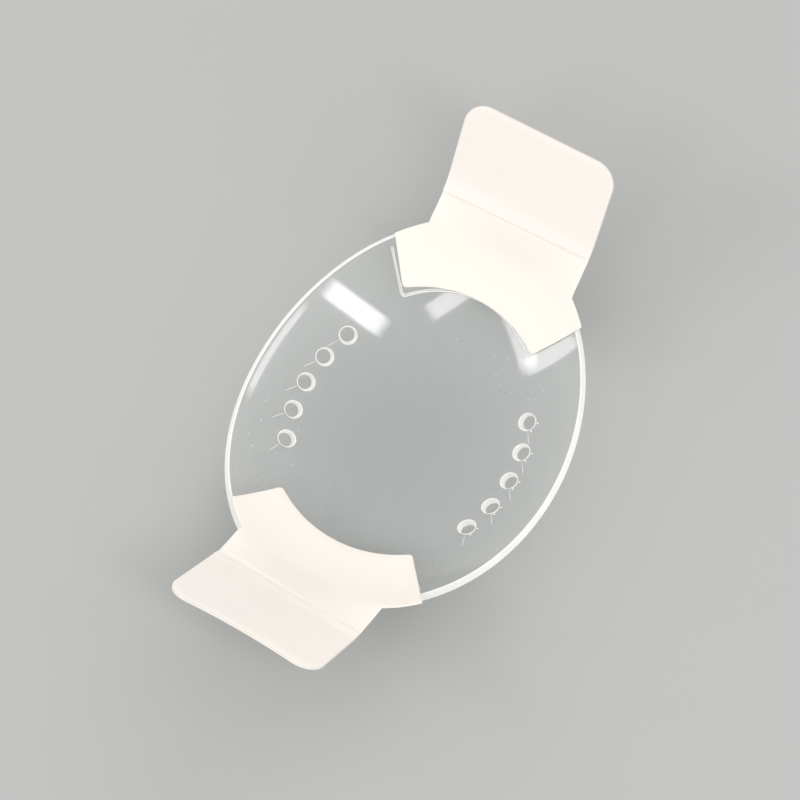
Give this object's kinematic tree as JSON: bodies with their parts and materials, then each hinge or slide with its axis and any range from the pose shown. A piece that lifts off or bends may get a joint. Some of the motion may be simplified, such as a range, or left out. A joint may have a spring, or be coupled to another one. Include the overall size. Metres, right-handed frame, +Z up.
{
  "type": "surgical eye shield",
  "caption": "Clear oval domed shield that covers a closed eye after surgery, with vent holes along its long sides and a peel-and-stick tape tab at each end.",
  "frame": {"origin": "lowest point of the dome's outside, on the shell's axis, where the shield touches the table it lies on", "axes": "+Z up out of the hollow towards the patient, square to the shell at its middle; Y along the long axis with the upper tab at +Y; X across"},
  "size_m": [0.062, 0.1109, 0.037],
  "materials": {
    "clear_shell": "clear moulded polycarbonate, glossy, lightly scratched",
    "tape": "warm white medical tape, smooth and matte",
    "adhesive": "clear soft acrylic adhesive",
    "liner": "white silicone-coated release paper, smooth"
  },
  "bodies": {
    "shell": {"shield_shell": "clear_shell", "upper_tape_head": "tape", "upper_head_adhesive": "adhesive", "lower_tape_head": "tape", "lower_head_adhesive": "adhesive"},
    "upper_flap": {"upper_tape_flap": "tape", "upper_skin_adhesive": "adhesive"},
    "upper_liner": {"upper_release_liner": "liner"},
    "lower_flap": {"lower_tape_flap": "tape", "lower_skin_adhesive": "adhesive"},
    "lower_liner": {"lower_release_liner": "liner"}
  },
  "joints": [
    {"name": "upper_flap_bend", "type": "hinge", "parent": "shell", "child": "upper_flap", "pos_m": [0.00164, 0.03981, 0.02013], "axis": [0.999, -0.0419, 0.0157], "range_deg": [-70, 45]},
    {"name": "upper_liner_peel", "type": "hinge", "parent": "upper_flap", "child": "upper_liner", "pos_m": [0.00164, 0.03996, 0.02063], "axis": [0.999, -0.0419, 0.0157], "range_deg": [0, 90]},
    {"name": "lower_flap_bend", "type": "hinge", "parent": "shell", "child": "lower_flap", "pos_m": [-0.00002, -0.04197, 0.02122], "axis": [-0.9917, 0.1079, -0.0695], "range_deg": [-60, 60]},
    {"name": "lower_liner_peel", "type": "hinge", "parent": "lower_flap", "child": "lower_liner", "pos_m": [-0.00008, -0.0422, 0.02177], "axis": [-0.9917, 0.1079, -0.0695], "range_deg": [0, 90]}
  ]
}
